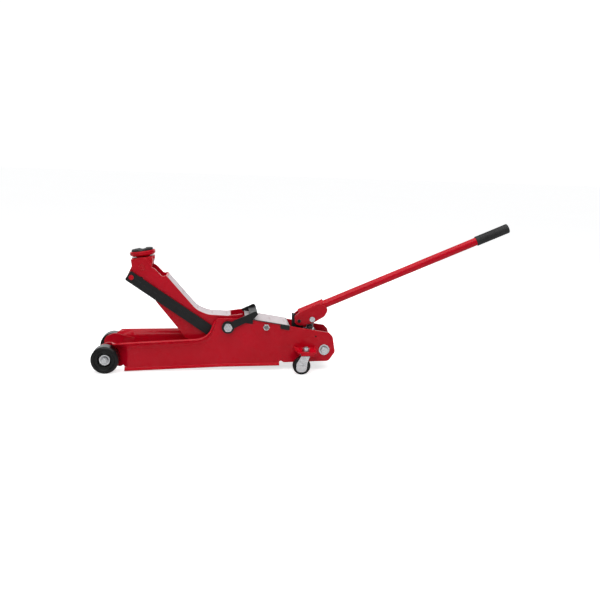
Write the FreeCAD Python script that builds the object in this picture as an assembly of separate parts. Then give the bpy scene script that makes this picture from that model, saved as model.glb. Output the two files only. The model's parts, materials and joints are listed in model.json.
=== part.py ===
"""Hydraulic trolley jack (low profile, long chassis), raised.

Millimetres. X runs from the front wheels to the handle grip, Y to the right, Z up from the floor.
The design frame has X = 0 at the front axle; every node is moved so that the origin is on the
floor, below the middle of the whole jack.
"""
import FreeCAD
import Part
import math
import os

# ---------------------------------------------------------------- chassis
RUNNING_FIT = 0.1          # radial clearance of a pin that turns in its hole
GAP = 0.3                  # clearance between neighbours that don't touch
PLATE = 4.0                # side plate thickness
FRAME_INNER = 53.0         # half the gap between the parallel rear plates
SPLAY_START_X = 320.0      # the plates bend outwards in front of this
SPLAY_END_X = 60.0
SPLAY_OUT = 25.0           # how far the front rails stand out beyond the rear plates
TAB_OUT = 5.0              # the same for the flat tab that holds the front axle
TAB_REAR_X = 26.0
REAR_X = 646.0             # rear end of the side plates
RAIL_TOP_FRONT_Z = 82.0    # height of the rolled top edge at its front end
RAIL_TOP_REAR_Z = 90.5
RAIL_START_X = 50.0
EAVE_TIP_X = 22.0          # the rolled edge runs on over the wheel as an eave, to here
EAVE_ROOT_X = 12.0         # its front edge slants back from the flat tab to the tip
EAVE_REACH = 37.0          # eave's tip from the tab's outer face
EAVE_Z = 79.6
SWEEP_START_X = 250.0      # the top edge sweeps up to the tall rear part from here
SWEEP_ANGLE = 68.0
SWEEP_LOW_R = 45.0
SWEEP_HIGH_R = 15.0
SHOULDER_Z = 150.0         # top of the side plates at the arm pivot
SHOULDER_END_X = 375.0
TOP_LIP_R = 22.0           # inner radius and angle of the rolled top edge
TOP_LIP_ANGLE = 50.0
TOP_LIP_FLAT = 7.0
BOTTOM_LIP_R = 5.0
BOTTOM_LIP_ANGLE = 62.0
BOTTOM_LIP_FLAT = 5.0
BOTTOM_LIP_END_X = 485.0
RAIL_BOTTOM_FRONT_Z = 12.7
RAIL_BOTTOM_REAR_Z = 25.0

# ---------------------------------------------------------------- front wheels
WHEEL_D = 76.0
WHEEL_W = 42.0
WHEEL_STANDOFF = 54.0      # outer face of a front wheel from the rear plates' outer face
AXLE_D = 14.0
HUB_RECESS = 9.0
HUB_WASHER_D = 30.0
AXLE_NUT_AF = 18.0

# ---------------------------------------------------------------- lift arm
ARM_X, ARM_Z = 336.8, 125.0        # arm pivot
ARM_SIDE_ROOM = 11.0               # from the arm's cheeks to the rear plates
ARM_T = 5.0
ARM_SHAFT_D = 24.0
ARM_TUBE_WALL = 5.0
BOLT_D = 14.0
BOLT_AF = 22.0
HEAD_X, HEAD_Z = 95.5, 289.0       # pin between arm and saddle head
HEAD_PIN_D = 16.0
HEAD_TILT = 8.5                    # the saddle leans forward by this when raised
ARM_NOSE_R = 27.0
ARM_WEB_DROP = 6.0                 # height of the folded top, measured straight down
ARM_WEB_END_X = 345.0              # the folded top stops here, above the pivot tube
LIFT_TRAVEL = 50.4                 # degrees from the pose shown down to the lowest
CRANK_ARM = 55.0                   # arm pivot to crank pin
CRANK_REST = 22.2                  # crank pin is this far in front of the vertical
CRANK_SWING = 28.2                 # half the crank's swing
CRANK_PIN_D = 16.0

# ---------------------------------------------------------------- saddle and links
SADDLE_D = 71.0
PAD_D = 60.0
PAD_TOP = 48.0                     # above the head pin, along the saddle's axis
FLANGE_D = 65.0
SADDLE_STEM_D = 22.0
SADDLE_AXIS_OFFSET = 3.6           # saddle axis behind the head pin
LINK_X, LINK_Z = 66.5, 260.5       # pin between link and saddle head
ANCHOR_X, ANCHOR_Z = 316.0, 92.0   # pin between link and frame
LINK_W = 30.0
LINK_NOSE = 11.5                   # bar beyond its front pin, which just passes the axle
LINK_T = 5.0
LINK_PIN_D = 14.0
ANCHOR_PIN_D = 12.0
ANCHOR_PLAY = 1.6                  # radial play of the link's rear eye

# ---------------------------------------------------------------- power unit
RESERVOIR_ROOM = 8.0               # from the cylinder out to the reservoir tube's outside
RESERVOIR_WALL = 3.0
CYLINDER_D = 42.0
CYLINDER_WALL = 5.0
CYLINDER_FRONT_X = 396.0
HEAD_CAP = 12.0
RAM_D = 24.0
BLOCK_X0, BLOCK_X1 = 512.0, 638.0
BLOCK_HALF = 38.0
BLOCK_TOP_Z = 108.0
BLOCK_BOTTOM_Z = 42.0
TRUNNION_X, TRUNNION_Z = 614.0, 61.5
TRUNNION_D = 12.0
TIE_X, TIE_Z = 445.5, 126.0
TIE_D = 10.0

# ---------------------------------------------------------------- handle and pump
HINGE_X, HINGE_Z = 543.0, 137.5
HINGE_PIN_D = 10.0
HANDLE_ANGLE = 23.66               # handle above the horizontal
HANDLE_RISE = 1.2                  # underside of the handle above the hinge pin's axis
HANDLE_D = 24.0
HANDLE_WALL = 2.0
HANDLE_START, HANDLE_END = 12.0, 671.0
GRIP_WALL = 2.2
GRIP_START, GRIP_END = 573.0, 676.0
GRIP_CHAMFER = 1.4
SOCKET_WALL = 5.0
SOCKET_START, SOCKET_END = 9.0, 87.0
YOKE_OUT = 21.0
YOKE_T = 4.5
ROLLER_X, ROLLER_Z = 581.0, 143.4
ROLLER_D = 20.0
ROLLER_BOLT_D = 10.0
PLUNGER_X = 577.0
PLUNGER_D = 12.0
VALVE_X = 544.0                    # release valve, beside the cylinder's bore
VALVE_MISS = 1.5
VALVE_D = 10.0
PLUNGER_CAP_D = 26.0
PLUNGER_GAP = 1.05                 # cap below the roller in the pose shown

# ---------------------------------------------------------------- cover and carry handle
COVER_OVERHANG = 2.2       # cover beyond the plates on each side
COVER_T = 2.0
COVER_X0, COVER_X1 = 385.0, 513.0
CARRY_X, CARRY_Z = 409.0, 161.5    # middle of the carry handle's cross bar
CARRY_EYE_D = 36.0
CARRY_T = 4.0
CARRY_W = 20.0
CARRY_BAR_W = 23.0
CARRY_BAR_ANGLE = 15.4
WASHER_T = 2.5

# ---------------------------------------------------------------- casters
CASTER_D = 50.0
CASTER_W = 19.0
CASTER_X = 545.3
CASTER_STANDOFF = 41.0     # caster's middle from the rear plates' outer face
SWIVEL_X = 556.5
KINGPIN_D = 10.0
FORK_T = 3.0
SHELF_TOP_Z = 66.5
SHELF_T = 4.5
SHELF_WIDTH = 57.5
SHELF_LIP_Z = 55.5

# ---------------------------------------------------------------- values that follow
FRAME_OUT = FRAME_INNER + PLATE
WHEEL_OUT = FRAME_OUT + WHEEL_STANDOFF
ARM_OUT = FRAME_INNER - ARM_SIDE_ROOM
ARM_TUBE_D = ARM_SHAFT_D + 2 * ARM_TUBE_WALL
RESERVOIR_D = CYLINDER_D + 2 * RESERVOIR_ROOM
CYLINDER_BORE = CYLINDER_D - 2 * CYLINDER_WALL
HANDLE_OFFSET = HANDLE_D / 2 + HANDLE_RISE
VALVE_Y = CYLINDER_D / 2 + VALVE_MISS
GRIP_D = HANDLE_D + 2 * GRIP_WALL
SOCKET_D = HANDLE_D + 2 * SOCKET_WALL
COVER_HALF = FRAME_OUT + COVER_OVERHANG
CASTER_Y = FRAME_OUT + CASTER_STANDOFF
SHELF_OUT = FRAME_OUT + SHELF_WIDTH
AXLE_Z = WHEEL_D / 2
CASTER_Z = CASTER_D / 2
COS_H = math.cos(math.radians(HANDLE_ANGLE))
SIN_H = math.sin(math.radians(HANDLE_ANGLE))
CRANK_X = ARM_X - CRANK_ARM * math.sin(math.radians(CRANK_REST))
CRANK_Z = ARM_Z - CRANK_ARM * math.cos(math.radians(CRANK_REST))
CRANK_RISE = CRANK_ARM * (1 - math.cos(math.radians(CRANK_SWING)))
RAM_Z = ARM_Z - CRANK_ARM + CRANK_RISE / 2
PLUNGER_CAP_Z = ROLLER_Z - ROLLER_D / 2 - PLUNGER_GAP
CARRY_Y0 = FRAME_OUT + WASHER_T + RUNNING_FIT
CARRY_Y1 = CARRY_Y0 + CARRY_T
TOP_LIP_H = (TOP_LIP_R * math.sin(math.radians(TOP_LIP_ANGLE))
             + TOP_LIP_FLAT * math.cos(math.radians(TOP_LIP_ANGLE)))
FRONT_X = -WHEEL_D / 2
HANDLE_TIP_X = HINGE_X + GRIP_END * COS_H + (GRIP_D / 2 - GRIP_CHAMFER - HANDLE_OFFSET) * SIN_H
ORIGIN_X = (FRONT_X + HANDLE_TIP_X) / 2


# ================================================================ helpers
def vec(x, y, z):
    return FreeCAD.Vector(x, y, z)


def rod_y(x, z, diameter, y0, y1):
    return Part.makeCylinder(diameter / 2, y1 - y0, vec(x, y0, z), vec(0, 1, 0))


def rod_x(y, z, diameter, x0, x1):
    return Part.makeCylinder(diameter / 2, x1 - x0, vec(x0, y, z), vec(1, 0, 0))


def rod_z(x, y, diameter, z0, z1):
    return Part.makeCylinder(diameter / 2, z1 - z0, vec(x, y, z0), vec(0, 0, 1))


def block(x0, x1, y0, y1, z0, z1):
    return Part.makeBox(x1 - x0, y1 - y0, z1 - z0, vec(x0, y0, z0))


def corner(previous, point, following, radius):
    """Tangent points and middle of the arc that rounds one corner."""
    to_previous = previous - point
    to_following = following - point
    room = 0.49 * min(to_previous.Length, to_following.Length)
    to_previous.normalize()
    to_following.normalize()
    half = to_previous.getAngle(to_following) / 2
    reach = min(radius / math.tan(half), room)
    radius = reach * math.tan(half)
    inward = to_previous + to_following
    inward.normalize()
    middle = point + inward * (radius / math.sin(half) - radius)
    return point + to_previous * reach, middle, point + to_following * reach


def rounded_wire(points, plane):
    """Closed wire through (u, v, corner radius) points; plane maps u, v to space."""
    corners = [plane(u, v) for u, v, _ in points]
    count = len(points)
    pieces = []
    for i in range(count):
        radius = points[i][2]
        if radius > 0:
            pieces.append(corner(corners[i - 1], corners[i], corners[(i + 1) % count], radius))
        else:
            pieces.append((corners[i], None, corners[i]))
    edges = []
    for i in range(count):
        start, middle, end = pieces[i]
        if middle is not None:
            edges.append(Part.Arc(start, middle, end).toShape())
        following = pieces[(i + 1) % count][0]
        if (following - end).Length > 1e-6:
            edges.append(Part.LineSegment(end, following).toShape())
    return Part.Wire(edges)


def slab_y(points, y0, y1):
    """Side outline of (x, z, corner radius) points, between two Y planes."""
    wire = rounded_wire(points, lambda u, v: vec(u, y0, v))
    return Part.Face(wire).extrude(vec(0, y1 - y0, 0))


def slab_z(points, z0, z1):
    """Top outline of (x, y, corner radius) points, between two heights."""
    wire = rounded_wire(points, lambda u, v: vec(u, v, z0))
    return Part.Face(wire).extrude(vec(0, 0, z1 - z0))


def hexagon(centre, axis, across_flats, height):
    """Hexagonal prism that starts at centre and runs along axis (Y or Z)."""
    radius = across_flats / math.sqrt(3)
    points = []
    for k in range(6):
        a = math.radians(60 * k)
        if axis.z:
            points.append(centre + vec(radius * math.cos(a), radius * math.sin(a), 0))
        else:
            points.append(centre + vec(radius * math.cos(a), 0, radius * math.sin(a)))
    prism = Part.Face(Part.makePolygon(points + points[:1])).extrude(axis * height)
    cone = Part.makeCone(radius, radius * 0.86, height * 0.14, centre + axis * (height * 0.86), axis)
    body = Part.makeCylinder(radius, height * 0.86, centre, axis)
    return prism.common(body.fuse(cone))


def hex_y(x, z, across_flats, y0, height, side):
    return hexagon(vec(x, y0 * side, z), vec(0, side, 0), across_flats, height)


def washer_y(x, z, outer, bore, y0, y1):
    return rod_y(x, z, outer, y0, y1).cut(rod_y(x, z, bore, y0 - 1, y1 + 1))


def mirror_y(shape):
    return shape.mirror(vec(0, 0, 0), vec(0, 1, 0))


def on_side(shape, side):
    return shape if side > 0 else mirror_y(shape)


def both_sides(shape):
    return Part.Compound([shape, mirror_y(shape)])


def at_handle(shape):
    """Place a shape that is built along +X from the hinge, level, onto the handle's axis."""
    moved = shape.copy()
    moved.rotate(vec(0, 0, 0), vec(0, 1, 0), -HANDLE_ANGLE)
    moved.translate(vec(HINGE_X, 0, HINGE_Z))
    return moved


def at_head(shape):
    """Place a shape that is built level about the head pin onto the leaning saddle head."""
    moved = shape.copy()
    moved.rotate(vec(0, 0, 0), vec(0, 1, 0), -HEAD_TILT)
    moved.translate(vec(HEAD_X, 0, HEAD_Z))
    return moved


def lean(x, z, degrees):
    """A point turned about the Y axis through the origin, front end up for positive angles."""
    c = math.cos(math.radians(degrees))
    s = math.sin(math.radians(degrees))
    return x * c + z * s, -x * s + z * c


# ================================================================ chassis
def wall_y(x):
    """Outer face of the side plate from the middle plane, on the rail."""
    if x >= SPLAY_START_X:
        return FRAME_OUT
    return FRAME_OUT + SPLAY_OUT * (SPLAY_START_X - x) / (SPLAY_START_X - SPLAY_END_X)


def wall_ribbon():
    """The bent sheet of one side plate, seen from above, extruded to full height."""
    tab_y = FRAME_OUT + TAB_OUT
    outer = [(FRONT_X, tab_y, 0), (TAB_REAR_X, tab_y, 6), (SPLAY_END_X, wall_y(SPLAY_END_X), 10),
             (SPLAY_START_X, FRAME_OUT, 0), (REAR_X + 5, FRAME_OUT, 0)]
    inner = [(REAR_X + 5, FRAME_INNER, 0), (SPLAY_START_X, FRAME_INNER, 0),
             (SPLAY_END_X + 1.5, wall_y(SPLAY_END_X + 1.5) - PLATE, 8),
             (TAB_REAR_X + 2, tab_y - PLATE, 8), (FRONT_X, tab_y - PLATE, 0)]
    return slab_z(outer + inner, -5, SHOULDER_Z + 20)


def rail_z(x):
    share = (x - RAIL_START_X) / (SWEEP_START_X - RAIL_START_X)
    return RAIL_TOP_FRONT_Z + share * (RAIL_TOP_REAR_Z - RAIL_TOP_FRONT_Z)


def sweep_stations():
    """Points and upward normals along the rail's top edge: the rail, then the S-shaped sweep."""
    slope = math.atan2(RAIL_TOP_REAR_Z - RAIL_TOP_FRONT_Z, SWEEP_START_X - RAIL_START_X)
    stations = []
    for x in (SPLAY_END_X, SWEEP_START_X):
        stations.append((x, rail_z(x), slope, 1.0))
    start_z = rail_z(SWEEP_START_X)
    steps = 5
    for i in range(1, steps + 1):
        a = math.radians(SWEEP_ANGLE) * i / steps
        x = SWEEP_START_X + SWEEP_LOW_R * math.sin(a)
        z = start_z + SWEEP_LOW_R * (1 - math.cos(a))
        stations.append((x, z, a, 1.0 - 0.5 * i / steps))
    rise = SHOULDER_Z - SWEEP_HIGH_R * (1 - math.cos(math.radians(SWEEP_ANGLE))) - stations[-1][1]
    x, z, a, _ = stations[-1]
    stations.append((x + rise / math.tan(a), z + rise, a, 0.22))
    return stations


def lip_section(x, z, slope, share, radius, angle, flat, down):
    """Cross-section of a rolled edge: bend, then a short flat. share shrinks it."""
    normal_x, normal_z = -math.sin(slope), math.cos(slope)
    if down:
        normal_x, normal_z = math.sin(slope), -math.cos(slope)
    bend = math.radians(angle)
    r = radius * share
    length = flat * share

    def place(h, w):
        return vec(x + normal_x * h, wall_y(x) + w, z + normal_z * h)

    def outside(a):
        return place(r * math.sin(a), r * (1 - math.cos(a)))

    def inside(a):
        return place((r + PLATE) * math.sin(a), r - (r + PLATE) * math.cos(a))

    run_h, run_w = length * math.cos(bend), length * math.sin(bend)
    tip_out = outside(bend) + vec(normal_x * run_h, run_w, normal_z * run_h)
    tip_in = inside(bend) + vec(normal_x * run_h, run_w, normal_z * run_h)
    edges = [Part.Arc(outside(0), outside(bend / 2), outside(bend)).toShape(),
             Part.LineSegment(outside(bend), tip_out).toShape(),
             Part.LineSegment(tip_out, tip_in).toShape(),
             Part.LineSegment(tip_in, inside(bend)).toShape(),
             Part.Arc(inside(bend), inside(bend / 2), inside(0)).toShape(),
             Part.LineSegment(inside(0), outside(0)).toShape()]
    return Part.Wire(edges)


def lip_base(x, z, slope, share):
    """Where the rolled top edge starts to bend, below its tip line."""
    height = TOP_LIP_H * share
    return x + math.sin(slope) * height, z - math.cos(slope) * height


def top_lip():
    wires = []
    for x, z, slope, share in sweep_stations():
        base_x, base_z = lip_base(x, z, slope, share)
        wires.append(lip_section(base_x, base_z, slope, share, TOP_LIP_R, TOP_LIP_ANGLE,
                                 TOP_LIP_FLAT, False))
    return Part.makeLoft(wires, True, True)


def eave():
    """The rolled edge in front of the splayed web: a roof that narrows onto the flat tab."""
    x, z, slope, share = sweep_stations()[0]
    base_x, base_z = lip_base(x, z, slope, share)
    rear = lip_section(base_x, base_z, slope, share, TOP_LIP_R, TOP_LIP_ANGLE, TOP_LIP_FLAT, False)
    root_y = FRAME_OUT + TAB_OUT - 2
    tip_y = FRAME_OUT + TAB_OUT + EAVE_REACH

    def place(y, up):
        back = (tip_y - y) / (tip_y - root_y)
        return vec(EAVE_TIP_X + back * (EAVE_ROOT_X - EAVE_TIP_X), y, EAVE_Z + up)

    bend_y = tip_y - TOP_LIP_FLAT
    middle_y = (root_y + bend_y) / 2
    root, middle, bend, tip = place(root_y, -4.6), place(middle_y, -2.2), place(bend_y, -2.0), place(tip_y, 0)
    up = vec(0, 0, PLATE)
    edges = [Part.Arc(root, middle, bend).toShape(),
             Part.LineSegment(bend, tip).toShape(),
             Part.LineSegment(tip, tip + up * 0.85).toShape(),
             Part.LineSegment(tip + up * 0.85, bend + up * 0.9).toShape(),
             Part.Arc(bend + up * 0.9, middle + up, root + up).toShape(),
             Part.LineSegment(root + up, root).toShape()]
    return Part.makeLoft([Part.Wire(edges), rear], True, True)


def bottom_z(x):
    share = (x - RAIL_START_X) / (BOTTOM_LIP_END_X - RAIL_START_X)
    return RAIL_BOTTOM_FRONT_Z + share * (RAIL_BOTTOM_REAR_Z - RAIL_BOTTOM_FRONT_Z)


def bottom_lip():
    slope = math.atan2(RAIL_BOTTOM_REAR_Z - RAIL_BOTTOM_FRONT_Z, BOTTOM_LIP_END_X - RAIL_START_X)
    lips = []
    for x0, x1 in ((RAIL_START_X + 1, SPLAY_START_X), (SPLAY_START_X, BOTTOM_LIP_END_X)):
        wires = [lip_section(x, bottom_z(x), slope, 1.0, BOTTOM_LIP_R, BOTTOM_LIP_ANGLE,
                             BOTTOM_LIP_FLAT, True) for x in (x0, x1)]
        lips.append(Part.makeLoft(wires, True, True))
    return lips[0].fuse(lips[1])


def wall_outline():
    tops = []
    for x, z, slope, share in sweep_stations():
        base_x, base_z = lip_base(x, z, slope, share)
        tops.append((base_x, base_z, 0))
    last_x, last_z, slope, share = sweep_stations()[-1]
    shoulder_x = last_x + (SHOULDER_Z - last_z) / math.tan(slope)
    front = [(FRONT_X + 14, RAIL_TOP_FRONT_Z - 14, 20), (EAVE_ROOT_X - 8, EAVE_Z - 1, 10),
             (EAVE_ROOT_X + 2, EAVE_Z - 1.5, 0)]
    rear = [(shoulder_x, SHOULDER_Z, SWEEP_HIGH_R), (SHOULDER_END_X, SHOULDER_Z, 30),
            (412.0, 145.0, 20), (542.0, 124.5, 0), (626.0, 112.0, 8), (638.0, 100.0, 14),
            (REAR_X, 55.0, 12), (628.0, 28.0, 16), (498.0, 23.0, 3),
            (BOTTOM_LIP_END_X + 5, bottom_z(BOTTOM_LIP_END_X) + 3, 3)]
    low = [(BOTTOM_LIP_END_X, bottom_z(BOTTOM_LIP_END_X), 0),
           (RAIL_START_X + 1, bottom_z(RAIL_START_X + 1), 0),
           (RAIL_START_X - 2, bottom_z(RAIL_START_X) + 5, 2),
           (RAIL_START_X - 12, bottom_z(RAIL_START_X) - 1, 4),
           (FRONT_X + 16, bottom_z(RAIL_START_X) + 1, 20)]
    return front + tops + rear + low


def side_plate(side):
    """One side of the chassis: pressed plate with rolled edges, splayed at the front."""
    plate = wall_ribbon().common(slab_y(wall_outline(), 0, FRAME_OUT + SPLAY_OUT + 30))
    plate = plate.fuse([top_lip(), eave(), bottom_lip()])
    holes = [(0, AXLE_Z, AXLE_D), (ARM_X, ARM_Z, BOLT_D), (TIE_X, TIE_Z, TIE_D),
             (TRUNNION_X, TRUNNION_Z, TRUNNION_D), (588.7, 100.0, 5.0)]
    for x, z, diameter in holes:
        plate = plate.cut(rod_y(x, z, diameter + 2 * RUNNING_FIT, FRAME_INNER - 10, FRAME_OUT + 40))
    plate = plate.cut(rod_y(ANCHOR_X, ANCHOR_Z, ANCHOR_PIN_D, ARM_OUT, wall_y(ANCHOR_X) - 1))
    return on_side(plate.removeSplitter(), side)


def front_axle():
    reach = WHEEL_OUT - HUB_RECESS + WASHER_T + 10
    return rod_y(0, AXLE_Z, AXLE_D, -reach, reach)


def axle_nuts():
    y0 = WHEEL_OUT - HUB_RECESS + GAP + WASHER_T
    nut = hex_y(0, AXLE_Z, AXLE_NUT_AF, y0, 8, 1)
    return both_sides(nut.cut(rod_y(0, AXLE_Z, AXLE_D, y0 - 1, y0 + 20)))


def axle_washers():
    outside = WHEEL_OUT - HUB_RECESS + GAP
    tab = FRAME_OUT + TAB_OUT
    inside = WHEEL_OUT - WHEEL_W - GAP
    washer = washer_y(0, AXLE_Z, HUB_WASHER_D, AXLE_D, outside, outside + WASHER_T)
    spacer = washer_y(0, AXLE_Z, HUB_WASHER_D - 6, AXLE_D, tab, inside)
    return Part.Compound([washer, mirror_y(washer), spacer, mirror_y(spacer)])


def front_wheel(side):
    """Moulded wheel: rounded tread, stepped outer face with a ring groove, recessed hub."""
    r = WHEEL_D / 2
    out, inner = WHEEL_OUT, WHEEL_OUT - WHEEL_W
    bore = AXLE_D / 2 + RUNNING_FIT
    hub = out - HUB_RECESS
    recess = HUB_WASHER_D / 2 + 2
    face = recess + 4
    groove = [face + share * (r - 4 - face) for share in (0.15, 0.46, 0.62)]
    profile = [(bore, inner, 0), (r - 5, inner, 0), (r, inner + 4, 0), (r, out - 4, 0),
               (r - 4, out, 0), (groove[2], out, 0), (groove[1], out - 3, 0), (groove[0], out - 3, 0),
               (face, out - 1.5, 0), (face - 2, out - 1.5, 0), (recess, hub, 0), (bore, hub, 0)]
    wire = rounded_wire(profile, lambda u, v: vec(u, v, 0))
    wheel = Part.Face(wire).revolve(vec(0, 0, 0), vec(0, 1, 0), 360)
    wheel.translate(vec(0, 0, AXLE_Z))
    return on_side(wheel, side)


def tie_rod():
    reach = FRAME_OUT + 11
    return rod_y(TIE_X, TIE_Z, TIE_D, -reach, reach)


def tie_spacer():
    return washer_y(TIE_X, TIE_Z, TIE_D + 8, TIE_D + 2 * RUNNING_FIT, -FRAME_INNER, FRAME_INNER)


def tie_nuts():
    nut = hex_y(TIE_X, TIE_Z, 16.5, FRAME_OUT, 8, 1)
    return both_sides(nut.cut(rod_y(TIE_X, TIE_Z, TIE_D, FRAME_OUT - 1, FRAME_OUT + 20)))


def link_anchor_pins():
    pin = rod_y(ANCHOR_X, ANCHOR_Z, ANCHOR_PIN_D, ARM_OUT + 1, wall_y(ANCHOR_X) - 1)
    return both_sides(pin)


def caster_bracket(side):
    """Shelf beside the plate that carries a caster: top, hanging front lip and two gussets."""
    top = slab_z([(525, FRAME_OUT, 0), (589, FRAME_OUT, 0), (585, SHELF_OUT, 6), (533, SHELF_OUT, 8)],
                 SHELF_TOP_Z - SHELF_T, SHELF_TOP_Z)
    lip = block(542, 578, SHELF_OUT - 3.5, SHELF_OUT, SHELF_LIP_Z, SHELF_TOP_Z - 1)
    shape = top.fuse(lip)
    for root_x, tip_x in ((526.0, 533.0), (584.5, 580.0)):
        corners = [vec(root_x, FRAME_OUT, SHELF_TOP_Z), vec(root_x, FRAME_OUT, SHELF_TOP_Z + 5),
                   vec(tip_x, SHELF_OUT - 9, SHELF_TOP_Z)]
        gusset = Part.Face(Part.makePolygon(corners + corners[:1])).extrude(vec(3.5, 0, 0))
        shape = shape.fuse(gusset)
    hole = rod_z(SWIVEL_X, CASTER_Y, KINGPIN_D + 2 * RUNNING_FIT, SHELF_LIP_Z, SHELF_TOP_Z + 5)
    return on_side(shape.cut(hole).removeSplitter(), side)


# ================================================================ lift arm
def web_top(end_x, end_z):
    """The arm's top edge from the notch to its end, as (x, z, corner radius) points."""
    return [(162.0, 267.0, 0), (247.4, 170.0, 60), (280.0, 156.4, 60), (ARM_X - 2.8, 154.0, 8),
            (end_x, end_z, 0)]


def crank_edge():
    """The arm's lower edge and crank lug, which are level when the arm is down."""
    points = []
    for x, z, r in ((-180.0, -113.0, 30), (-44.0, -114.0, 14), (-4.0, -72.0, 10),
                    (50.0, -72.0, 24), (60.0, -30.0, 24)):
        lifted_x, lifted_z = lean(x, z, LIFT_TRAVEL)
        points.append((ARM_X + lifted_x, ARM_Z + lifted_z, r))
    return points


def arm_cheek(y0, y1):
    heel = [(ARM_X + 44.5, 149.5, 5)]
    notch = [(152.0, 263.0, 8), (124.0, 292.0, 30)]
    under_nose = (HEAD_X + 0.5, HEAD_Z - ARM_NOSE_R + 0.3, 0)
    top = web_top(ARM_X + 40, 160.0)[::-1]
    body = slab_y([(HEAD_X, HEAD_Z, 0), under_nose] + crank_edge() + heel + top + notch, y0, y1)
    nose = rod_y(HEAD_X, HEAD_Z, 2 * ARM_NOSE_R, y0, y1)
    return body.fuse(nose).removeSplitter()


def arm_web(y0, y1):
    """The folded top of the channel, as thick as the cheeks across the fold."""
    top = web_top(ARM_WEB_END_X, 155.5)
    below = [(x - 1.5, z - ARM_WEB_DROP, max(r - 4, 0)) for x, z, r in top[::-1]]
    return slab_y(top + below, y0, y1)


def lift_arm():
    """Folded channel: two cheeks, the top web between them, the pivot tube and a stiffener."""
    inner = ARM_OUT - ARM_T
    arm = arm_cheek(-ARM_OUT, -inner).fuse(arm_cheek(inner, ARM_OUT))
    brace = slab_y([(187.0, 140.0, 3), (226.0, 88.0, 3), (229.0, 90.5, 3), (190.0, 142.5, 3)],
                   -inner, inner)
    tube = rod_y(ARM_X, ARM_Z, ARM_TUBE_D, -FRAME_INNER + GAP, FRAME_INNER - GAP)
    arm = arm.fuse([arm_web(-inner, inner), brace, tube])
    arm = arm.cut(rod_y(ARM_X, ARM_Z, ARM_SHAFT_D + 2 * RUNNING_FIT, -FRAME_OUT, FRAME_OUT))
    arm = arm.cut(rod_y(HEAD_X, HEAD_Z, HEAD_PIN_D, -FRAME_OUT, FRAME_OUT))
    arm = arm.cut(rod_y(CRANK_X, CRANK_Z, CRANK_PIN_D, -FRAME_OUT, FRAME_OUT))
    return arm.removeSplitter()


def arm_label():
    """Thin sticker along the arm's top web."""
    half = ARM_OUT - 3
    sheet = arm_web(-half, half)
    sheet.translate(vec(0, 0, 0.5))
    reach = block(166.0, ARM_WEB_END_X - 2, -half, half, ARM_Z, HEAD_Z)
    return sheet.common(reach).cut(arm_cheek(-ARM_OUT, ARM_OUT))


def head_pin():
    end = ARM_OUT + 1.2
    pin = rod_y(HEAD_X, HEAD_Z, HEAD_PIN_D, -end, end)
    for side in (-1, 1):
        y0, y1 = sorted((side * (end - 1), side * (end + 1)))
        pin = pin.cut(washer_y(HEAD_X, HEAD_Z, HEAD_PIN_D - 3, HEAD_PIN_D - 9, y0, y1))
    return pin


def crank_pin():
    return rod_y(CRANK_X, CRANK_Z, CRANK_PIN_D, -ARM_OUT, ARM_OUT)


def arm_pivot_shaft():
    shaft = rod_y(ARM_X, ARM_Z, ARM_SHAFT_D, -FRAME_INNER, FRAME_INNER)
    for side in (-1, 1):
        y0, y1 = sorted((side * (FRAME_INNER - 30), side * FRAME_OUT))
        shaft = shaft.cut(rod_y(ARM_X, ARM_Z, BOLT_D, y0, y1))
    return shaft


def arm_pivot_bolts():
    seat = CARRY_Y1 + RUNNING_FIT
    shank = rod_y(ARM_X, ARM_Z, BOLT_D, FRAME_INNER - 25, seat)
    flange = rod_y(ARM_X, ARM_Z, BOLT_AF + 1.5, seat, seat + 1)
    end = rod_y(ARM_X, ARM_Z, BOLT_D - 1, seat, seat + 11)
    bolt = shank.fuse([flange, hex_y(ARM_X, ARM_Z, BOLT_AF, seat + 1, 8.5, 1), end])
    return both_sides(bolt.removeSplitter())


def arm_pivot_washers():
    return both_sides(washer_y(ARM_X, ARM_Z, BOLT_D * 2, BOLT_D, FRAME_OUT, FRAME_OUT + WASHER_T))


# ================================================================ saddle head and links
def saddle_head():
    """Forged head: boss on the head pin, lug down to the link pin, round flange on top."""
    half = ARM_OUT - ARM_T - GAP
    lug_x, lug_z = lean(LINK_X - HEAD_X, LINK_Z - HEAD_Z, HEAD_TILT)
    lug_r = LINK_PIN_D / 2 + 5
    cheek_out = ARM_OUT - ARM_T - GAP
    shapes = []
    neck = [(-28.0, 24.0, 0), (-28.0, 0.0, 12), (-14.0, -18.0, 8), (12.0, -20.0, 10),
            (24.0, -6.0, 10), (31.0, 10.0, 6), (31.0, 24.0, 0)]
    shapes.append(slab_y(neck, -half, half))
    arm_lug = [(-28.0, 6.0, 4), (lug_x - lug_r, lug_z + 4, 8), (lug_x - 6, lug_z - lug_r, 8),
               (lug_x + lug_r, lug_z - 4, 8), (-8.0, -16.0, 6), (0.0, 6.0, 2)]
    shapes.append(slab_y(arm_lug, -cheek_out, cheek_out))
    boss = rod_z(SADDLE_AXIS_OFFSET, 0, FLANGE_D, 17, 26)
    shapes.append(boss)
    head = shapes[0].fuse(shapes[1:])
    head = head.cut(rod_y(0, 0, HEAD_PIN_D + 2 * RUNNING_FIT, -half - 5, half + 5))
    head = head.cut(rod_y(lug_x, lug_z, LINK_PIN_D, -half - 5, half + 5))
    head = head.cut(block(-40, 11.0, -half + 12, half - 12, -45, 9.0))
    head = head.cut(rod_z(SADDLE_AXIS_OFFSET, 0, SADDLE_STEM_D + 2 * RUNNING_FIT, 9.5, 40))
    return at_head(head.removeSplitter())


def link_pins():
    half = ARM_OUT - ARM_T - GAP
    pin = rod_y(LINK_X, LINK_Z, LINK_PIN_D, half - 12, ARM_OUT + 1.5 + LINK_T + 0.8)
    return both_sides(pin)


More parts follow.
